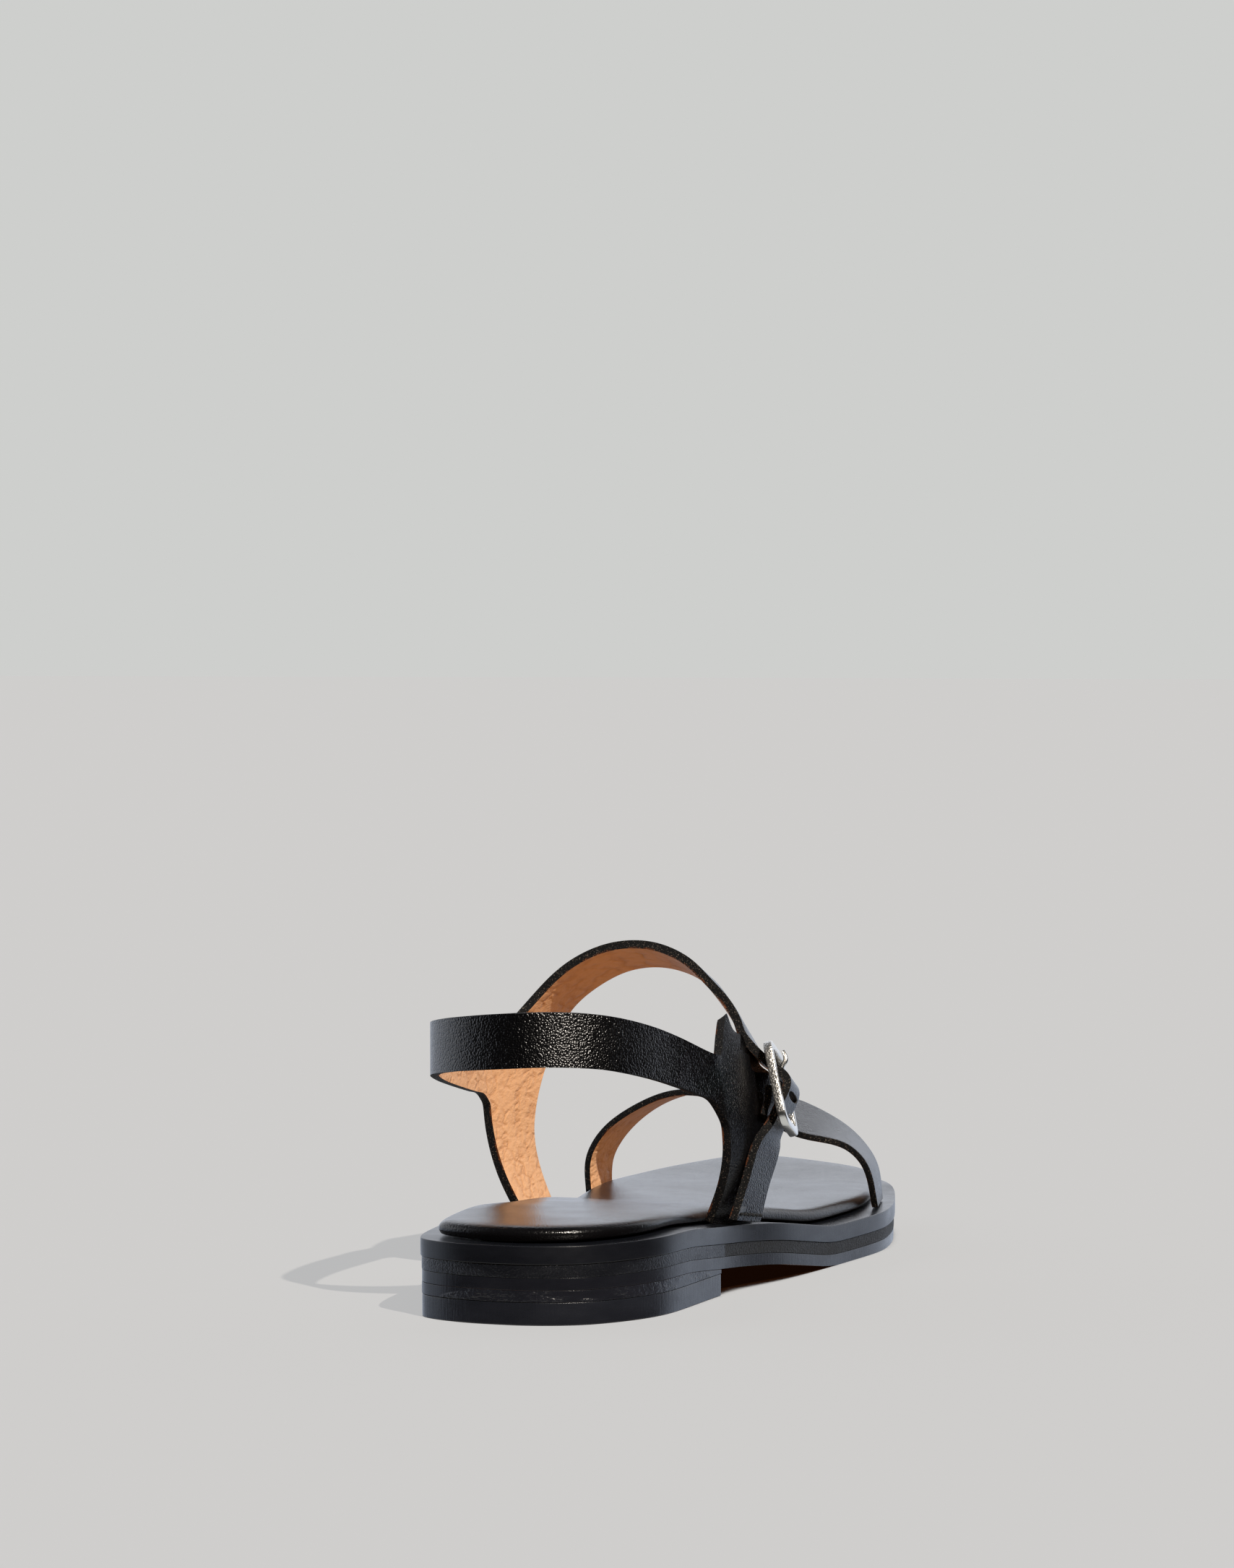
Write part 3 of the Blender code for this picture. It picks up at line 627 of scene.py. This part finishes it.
# %% [markdown]
# The insole is a thin foam pad under smooth leather, rolled over at its edge. Its solid already has the
# roll. The copy is blown up a little along its normals, sideways only behind the straps, and less in the
# flat middle than at the edge. At the heel's inner corner a few points of the top lie almost on one
# another, so they are merged first, or the rounding would pinch there. The top is one row of faces from
# side to side. Their long edges are subdivided, and the net that comes of it takes the soft troughs and
# ridges of foam under leather: the heel's seat, the ball's, and the waves between them.

# %% Padded insole
CLOSE_POINTS_MM = Vector((-13.6, -109.8))
CLOSE_POINTS_ROUND_MM = 1.6
PAD_TOP_MM = 21.5
PAD_SWELL_MM = 0.9
# How far up a point of the pad looks, as for the faces of the sole.
PAD_UNDERSIDE = -0.1
PAD_FLAT, PAD_FLAT_RANGE = 0.97, 0.03
PAD_FLAT_LESS = 0.5
BEHIND_STRAPS_MM = (-60.0, -75.0)
PAD_WAVES_MM = [
    # x, y, half width, half length, height
    (0.0, -82.0, 24.0, 21.0, -0.6),
    (-6.0, -52.0, 26.0, 14.0, 0.5),
    (3.0, -22.0, 26.0, 18.0, -0.4),
    (2.0, 8.0, 28.0, 14.0, 0.35),
    (4.0, 40.0, 34.0, 24.0, -0.7),
    (2.0, 84.0, 32.0, 22.0, -0.4),
]
PAD_CUTS = 9
PAD_CUT_FROM_Y_MM = -105.0
PAD_CUT_LONG_MM = 14.0
PAD_CUT_LEVEL = 0.9
PAD_CUT_SIDEWAYS = 0.7

bm = copy_of("insole")
close = [vert for vert in bm.verts if vert.co.z > PAD_TOP_MM * MM
         and (vert.co.xy / MM - CLOSE_POINTS_MM).length < CLOSE_POINTS_ROUND_MM]
bmesh.ops.pointmerge(bm, verts=close, merge_co=sum((vert.co for vert in close), Vector()) / len(close))
print("insole:", len(close), "close points merged")
bm.normal_update()
free_from, free_to = BEHIND_STRAPS_MM
for vert in bm.verts:
    if vert.normal.z < PAD_UNDERSIDE:
        continue
    free = min(max((vert.co.y / MM - free_from) / (free_to - free_from), 0.0), 1.0)
    out = vert.normal * PAD_SWELL_MM * MM
    flat = max(vert.normal.z - PAD_FLAT, 0.0) / PAD_FLAT_RANGE
    vert.co += Vector((out.x * free, out.y * free, out.z * (1.0 - PAD_FLAT_LESS * flat)))
bm.normal_update()
across = [edge for edge in bm.edges if edge.calc_length() > PAD_CUT_LONG_MM * MM
          and min(vert.co.y for vert in edge.verts) > PAD_CUT_FROM_Y_MM * MM
          and all(face.normal.z > PAD_CUT_LEVEL for face in edge.link_faces)
          and abs(edge.verts[0].co.x - edge.verts[1].co.x) > PAD_CUT_SIDEWAYS * edge.calc_length()]
cut = bmesh.ops.subdivide_edges(bm, edges=across, cuts=PAD_CUTS, use_grid_fill=True)
inner = {part for part in cut["geom_inner"] if isinstance(part, bmesh.types.BMVert)}
for vert in inner:
    for x, y, half_width, half_length, height in PAD_WAVES_MM:
        away = ((vert.co.x / MM - x) / half_width) ** 2 + ((vert.co.y / MM - y) / half_length) ** 2
        vert.co.z += height * MM * max(1.0 - away, 0.0) ** 2
print("insole:", len(across), "edges cut,", len(inner), "points shaped")
insole = dress(bm, "padded_insole", "insole", [insole_leather])

# %% [markdown]
# A strap's solid has two broad faces and a narrow rim between them. The rim's borders are its only sharp
# edges, so walking from face to face without crossing them finds three zones: the outer face, the lining
# and the cut edge. The outer face is the broad one that looks away from the foot.

# %% Straps
OUTER, LINING, CUT = 0, 1, 2


def strap_zones(bm):
    """Split a strap's faces at its sharp rims into connected zones, the broadest first."""
    walls = set(sharp_edges(bm))
    waiting = set(bm.faces)
    zones = []
    while waiting:
        start = min(waiting, key=lambda face: face.index)
        waiting.discard(start)
        zone = [start]
        for face in zone:
            for edge in face.edges:
                if edge in walls:
                    continue
                for other in edge.link_faces:
                    if other in waiting:
                        waiting.discard(other)
                        zone.append(other)
        zones.append(zone)
    return sorted(zones, key=lambda zone: -sum(face.calc_area() for face in zone))


def looks_outwards(zone, middle):
    """Area of a zone that looks away from the foot's middle, less the area that looks towards it."""
    total = 0.0
    for face in zone:
        away = face.calc_center_median() - middle
        total += face.calc_area() * (1.0 if away.dot(face.normal) > 0.0 else -1.0)
    return total


def strap_piece(name, node, middle, rim_mm, corners=None, shape=None):
    """A strap with its outer leather, its lining and its cut edges."""
    bm = copy_of(node)
    bm.faces.index_update()
    zones = strap_zones(bm)
    broad = sorted(zones[:2], key=lambda zone: -looks_outwards(zone, middle))
    depth = bm.verts.layers.float.new("depth")
    bm.verts.layers.float.new("quarter")
    for face in bm.faces:
        face.material_index = CUT
    for index, zone in enumerate(broad):
        for face in zone:
            face.material_index = index
            for vert in face.verts:
                vert[depth] = float(index)
    print(node, "zones:", [len(zone) for zone in zones])
    if corners:
        corners(bm)
    bevel_rims(bm, rim_mm)
    if shape:
        shape(bm)
    dress(bm, name, node, [strap_leather, lining_leather, cut_edge])


# %% [markdown]
# The instep strap ends at the buckle, over the slanting top of the quarter. A few small things there are
# shaped on the copy as with a sculpting brush: each pull moves the points near a place, less and less
# towards its radius, and only on one side of a plane, so that it leaves the neighbouring strap alone. A
# spare hole is an inset face that is pushed in; it becomes round under the subdivision. The strap's
# hanging end has no lining: it is black on both faces.

# %% Upper
PULLS_MM = [
    # place, radius, move, a point of the plane, the plane's side that moves
    ((28.3, -35.5, 66.2), 6.5, (0.0, 0.0, -3.2), (0.0, -30.5, 0.0), (0.0, -1.0, 0.0)),
    ((24.5, -28.5, 69.0), 13.0, (1.6, 0.4, 0.3), (28.5, -31.5, 65.2), (0.0, 0.51, 0.86)),
    ((34.0, -27.5, 46.0), 11.0, (-0.5, 8.0, 0.0), (35.9, 0.0, 0.0), (-1.0, 0.0, 0.0)),
    ((33.0, -24.0, 52.5), 6.0, (0.0, 6.0, 0.0), (0.0, 0.0, 53.5), (0.0, 0.0, -1.0)),
    ((26.5, -41.0, 69.0), 2.2, (0.6, 0.0, -2.2), (0.0, -30.5, 0.0), (0.0, -1.0, 0.0)),
]
TAB_TIP = Vector((27.7, -41.0, 69.4)) * MM
TAB_ROUND_MM = 1.7
TAB_EDGE_MM = 3.0
TAB_SIDEWAYS = 0.6
SPARE_HOLE = Vector((42.9, -29.4, 48.0)) * MM
HOLE_RIM_MM, HOLE_WALL_MM, HOLE_DEPTH_MM = 0.45, 0.08, 1.3
QUARTER_X_MM = (0.0, 35.9)
QUARTER_BEHIND_Y_MM = -30.5
QUARTER_LOW_Z_MM, QUARTER_LOW_Y_MM = 54.0, -16.0
HANGING_X_MM, HANGING_Z_MM = 33.5, 57.0
FOOT_MIDDLE = Vector((0.0, -0.060, 0.045))
TOE_MIDDLE = Vector((0.0, 0.048, 0.0))
CHAPE_MIDDLE = Vector((0.0, -0.03, 0.03))


def round_tab(bm):
    """Round the quarter's pointed tip."""
    through = [edge for edge in bm.edges if edge.calc_length() < TAB_EDGE_MM * MM
               and abs(edge.verts[0].co.x - edge.verts[1].co.x) > TAB_SIDEWAYS * edge.calc_length()]
    tip = min(through, key=lambda edge: ((edge.verts[0].co + edge.verts[1].co) / 2 - TAB_TIP).length)
    bmesh.ops.bevel(bm, geom=[tip], offset=TAB_ROUND_MM * MM, offset_type="OFFSET", segments=4, profile=0.5,
                    affect="EDGES", material=-1)


def finish_upper(bm):
    """Pull the quarter and the strap into place and punch the spare hole."""
    for place, radius, move, point, side in PULLS_MM:
        for vert in bm.verts:
            at = vert.co / MM
            weight = 1.0 - (at - Vector(place)).length_squared / radius ** 2
            if weight > 0.0 and (at - Vector(point)).dot(Vector(side)) > 0.0:
                vert.co += Vector(move) * MM * weight ** 2
    outer = [face for face in bm.faces if face.material_index == OUTER]
    quarter = bm.verts.layers.float["quarter"]
    for vert in bm.verts:
        x, y, z = vert.co / MM
        low = z < QUARTER_LOW_Z_MM and y < QUARTER_LOW_Y_MM
        if QUARTER_X_MM[0] < x < QUARTER_X_MM[1] and (y < QUARTER_BEHIND_Y_MM or low):
            vert[quarter] = 1.0
    for face in bm.faces:
        x, _, z = face.calc_center_median() / MM
        if face.material_index == LINING and x > HANGING_X_MM and z < HANGING_Z_MM:
            face.material_index = OUTER
    face = min(outer, key=lambda face: (face.calc_center_median() - SPARE_HOLE).length)
    bmesh.ops.inset_individual(bm, faces=[face], thickness=HOLE_RIM_MM * MM, depth=0.0)
    rim = bmesh.ops.inset_individual(bm, faces=[face], thickness=HOLE_WALL_MM * MM,
                                     depth=-HOLE_DEPTH_MM * MM)
    for inner in [face] + rim["faces"]:
        inner.material_index = CUT
    print("spare hole at", [round(value / MM, 1) for value in face.calc_center_median()], "mm")


strap_piece("strap_upper", "upper", FOOT_MIDDLE, rim_mm=0.30, corners=round_tab,
            shape=finish_upper)
strap_piece("strap_toe", "toe_strap", TOE_MIDDLE, rim_mm=0.28)
strap_piece("strap_chape", "buckle_chape", CHAPE_MIDDLE, rim_mm=0.20)

# %% [markdown]
# The strap's end is stitched down at the sole with a short row of black thread. One stitch is a small
# ball, flattened and stretched along the row; a loop repeats it.

# %% Stitches
STITCH_FROM = Vector((35.9, -50.9, 19.9)) * MM
STITCH_TO = Vector((38.2, -39.9, 18.4)) * MM
STITCHES = 6
STITCH_MM = (0.88, 0.36, 0.42)
PLY_MM = 0.9
PLY_RELIEF_MM = 0.08
THREAD_BLACK = "020203"
THREAD_ROUGHNESS = 0.7

# Twisted polyester thread: matt black, with the slanting lines of its plies.
thread, tree, shader, place = new_material("black_thread")
ply = add_node(tree, "ShaderNodeTexWave", {"bands_direction": "DIAGONAL"}, {"Scale": 1.0 / (PLY_MM * MM)},
               {"Vector": place})
bump = add_node(tree, "ShaderNodeBump", values={"Distance": PLY_RELIEF_MM * MM},
                links={"Height": ply.outputs["Fac"]})
tree.links.new(bump.outputs["Normal"], shader.inputs["Normal"])
shader.inputs["Base Color"].default_value = linear(THREAD_BLACK)
shader.inputs["Roughness"].default_value = THREAD_ROUGHNESS

row = STITCH_TO - STITCH_FROM
out_of_strap = row.cross(Vector((0.0, 0.0, 1.0))).normalized()
turn = Matrix((row.normalized(), out_of_strap, row.normalized().cross(out_of_strap))).transposed().to_4x4()
bm = bmesh.new()
for index in range(STITCHES):
    place_of = Matrix.Translation(STITCH_FROM + row * (index + 0.5) / STITCHES)
    size = Matrix.Diagonal((*STITCH_MM, 1.0)) @ Matrix.Scale(MM, 4)
    bmesh.ops.create_uvsphere(bm, u_segments=8, v_segments=6, radius=1.0, matrix=place_of @ turn @ size)
dress(bm, "strap_end_stitches", None, [thread], levels=0)

# %% [markdown]
# The buckle is cast metal with a bright plating. Its side walls keep small hammer dents that sparkle,
# and its ends are polished. A metal has no colour of its own besides its reflection, so the base colour
# is that of the plating, and the dents are bump.

# %% Buckle metal
DENT_MM = 0.55
WORN_MM = 3.0
WORN_SWING = 0.06
PLATING = "e6e4e0"


def plated_metal(name, dent_mm, roughness):
    """Bright plated metal, with hammer dents of the given depth."""
    material, tree, shader, place = new_material(name)
    dents = add_node(tree, "ShaderNodeTexVoronoi", {"feature": "F1"}, {"Scale": 1.0 / (DENT_MM * MM)},
                     {"Vector": place})
    bump = add_node(tree, "ShaderNodeBump", values={"Distance": dent_mm * MM},
                    links={"Height": dents.outputs["Distance"]})
    tree.links.new(bump.outputs["Normal"], shader.inputs["Normal"])
    worn = add_node(tree, "ShaderNodeTexNoise", values={"Scale": 1.0 / (WORN_MM * MM), "Detail": 3.0},
                    links={"Vector": place})
    gloss = add_node(tree, "ShaderNodeMapRange",
                     values={"To Min": roughness - WORN_SWING, "To Max": roughness + WORN_SWING},
                     links={"Value": worn.outputs["Fac"]})
    tree.links.new(gloss.outputs["Result"], shader.inputs["Roughness"])
    shader.inputs["Base Color"].default_value = linear(PLATING)
    shader.inputs["Metallic"].default_value = 1.0
    return material


# Nickel-bright plating: the dented walls sparkle, the polished ends mirror the room softly.
hammered_metal = plated_metal("hammered_plated_metal", dent_mm=0.13, roughness=0.38)
polished_metal = plated_metal("polished_plated_metal", dent_mm=0.01, roughness=0.28)
print("metals:", hammered_metal.name, polished_metal.name)

# %% [markdown]
# The buckle's frame is a flat rectangle with round corners. A grid of one face is the plate: its corners
# are bevelled, an inset makes the window, whose face is deleted, an extrusion gives the thickness, and a
# last bevel softens the rims. A thin bar crosses the middle for the prong. The piece is modelled flat and
# then set into the place of its solid.

# %% Buckle frame
BUCKLE_DOWN = Vector((0.383, -0.311, -0.870)).normalized()
BUCKLE_ACROSS = Vector((-0.116, 0.939, -0.331)).normalized()
BUCKLE_WIDTH_MM = 18.5
BUCKLE_LENGTH_MM = 23.0
BUCKLE_CORNER_MM = 4.0
BUCKLE_BAR_MM = 2.4
BUCKLE_THICK_MM = 2.2
BUCKLE_RIM_MM = 0.42
BUCKLE_TILT = math.radians(4.5)
CENTRE_BAR_MM = 0.9
POLISHED_FROM_MM = 8.6

low, high = (Vector(corner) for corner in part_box("buckle_frame"))
buckle_axes = Matrix((BUCKLE_ACROSS, -BUCKLE_DOWN, BUCKLE_DOWN.cross(BUCKLE_ACROSS))).transposed().to_4x4()
at_buckle = Matrix.Translation((low + high) / 2) @ buckle_axes @ Matrix.Scale(MM, 4)

bm = bmesh.new()
bmesh.ops.create_grid(bm, x_segments=1, y_segments=1, size=0.5)
bmesh.ops.scale(bm, vec=(BUCKLE_WIDTH_MM, BUCKLE_LENGTH_MM, 1.0), verts=bm.verts)
bmesh.ops.bevel(bm, geom=bm.verts[:], offset=BUCKLE_CORNER_MM, offset_type="OFFSET", segments=6, profile=0.5,
                affect="VERTICES", material=-1)
plate = bm.faces[:]
bmesh.ops.inset_region(bm, faces=plate, thickness=BUCKLE_BAR_MM, use_boundary=True,
                       use_even_offset=True)
bmesh.ops.delete(bm, geom=plate, context="FACES")
raised = bmesh.ops.extrude_face_region(bm, geom=bm.faces[:])
bmesh.ops.translate(bm, vec=(0.0, 0.0, BUCKLE_THICK_MM),
                    verts=[part for part in raised["geom"] if isinstance(part, bmesh.types.BMVert)])
bmesh.ops.translate(bm, vec=(0.0, 0.0, -BUCKLE_THICK_MM / 2), verts=bm.verts)
bmesh.ops.recalc_face_normals(bm, faces=bm.faces)
bmesh.ops.bevel(bm, geom=sharp_edges(bm), offset=BUCKLE_RIM_MM, offset_type="OFFSET", segments=3,
                profile=0.5, affect="EDGES", material=-1)
bar = Matrix.Rotation(math.pi / 2, 4, "Y")
bmesh.ops.create_cone(bm, cap_ends=True, segments=16, radius1=CENTRE_BAR_MM, radius2=CENTRE_BAR_MM,
                      depth=BUCKLE_WIDTH_MM - BUCKLE_BAR_MM, matrix=bar)
bmesh.ops.rotate(bm, cent=(0.0, 0.0, 0.0), matrix=Matrix.Rotation(BUCKLE_TILT, 3, "X"), verts=bm.verts)
for face in bm.faces:
    face.material_index = 1 if face.calc_center_median().y < -POLISHED_FROM_MM else 0
bmesh.ops.transform(bm, matrix=at_buckle, verts=bm.verts)
dress(bm, "buckle_frame_cast", "buckle_frame", [hammered_metal, polished_metal], levels=0)

# %% [markdown]
# The prong comes up through a hole in the strap, bends over and points up past the top bar. It is bent
# wire, so it is made as a curve with a round bevel, whose radius runs out to the tip, and then turned
# into a mesh.

# %% Prong
PRONG_MM = [
    # across, up, outwards, share of the wire's radius
    (1.5, 4.4, 0.8, 1.0),
    (1.5, 5.6, 1.3, 1.0),
    (1.5, 6.4, 2.0, 1.0),
    (1.5, 6.9, 2.8, 1.0),
    (1.5, 7.7, 3.3, 1.0),
    (1.5, 8.9, 3.4, 0.9),
    (1.5, 10.0, 3.2, 0.7),
]
PRONG_WIRE_MM = 0.65
PRONG_MERGE_MM = 0.001

curve = bpy.data.curves.new("prong", "CURVE")
curve.dimensions = "3D"
curve.bevel_depth = PRONG_WIRE_MM
curve.bevel_resolution = 4
curve.use_fill_caps = True
line = curve.splines.new("NURBS")
line.points.add(len(PRONG_MM) - 1)
line.use_endpoint_u = True
line.order_u = 3
for point, (across, up, outwards, share) in zip(line.points, PRONG_MM):
    point.co = (across, up, outwards, 1.0)
    point.radius = share
wire = bpy.data.objects.new("prong", curve)
bm = bmesh.new()
bm.from_mesh(wire.to_mesh())
wire.to_mesh_clear()
bpy.data.objects.remove(wire)
bmesh.ops.remove_doubles(bm, verts=bm.verts, dist=PRONG_MERGE_MM)
bmesh.ops.transform(bm, matrix=at_buckle, verts=bm.verts)
bmesh.ops.recalc_face_normals(bm, faces=bm.faces)
dress(bm, "buckle_prong_wire", "buckle_prong", [polished_metal], levels=0)
